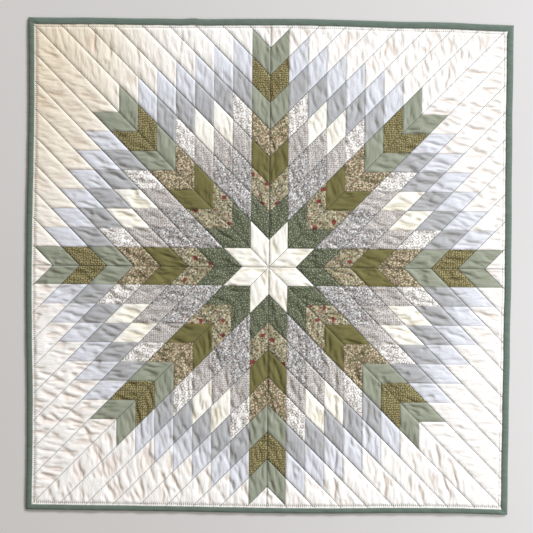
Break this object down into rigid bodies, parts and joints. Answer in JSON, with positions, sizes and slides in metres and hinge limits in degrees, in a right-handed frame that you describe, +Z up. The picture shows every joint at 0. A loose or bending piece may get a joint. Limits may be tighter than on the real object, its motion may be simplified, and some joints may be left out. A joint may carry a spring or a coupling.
{
  "type": "patchwork quilt",
  "caption": "Small square quilt laid flat: a pieced eight-pointed star of diamonds on a plain ground, quilted in slanting lines, with a folded binding round the edge.",
  "frame": {"origin": "on the surface that the quilt lies on, under the middle of its outline", "axes": "+Z up out of the pieced face, +Y towards the top edge, where the binding's ends are joined, +X to the right as seen from above"},
  "size_m": [0.7843, 0.7986, 0.0042],
  "materials": {
    "pieced_cotton": "matte",
    "binding_cotton": "matte"
  },
  "bodies": {
    "root": {"quilt_body": "pieced_cotton", "binding": "binding_cotton"}
  },
  "joints": []
}
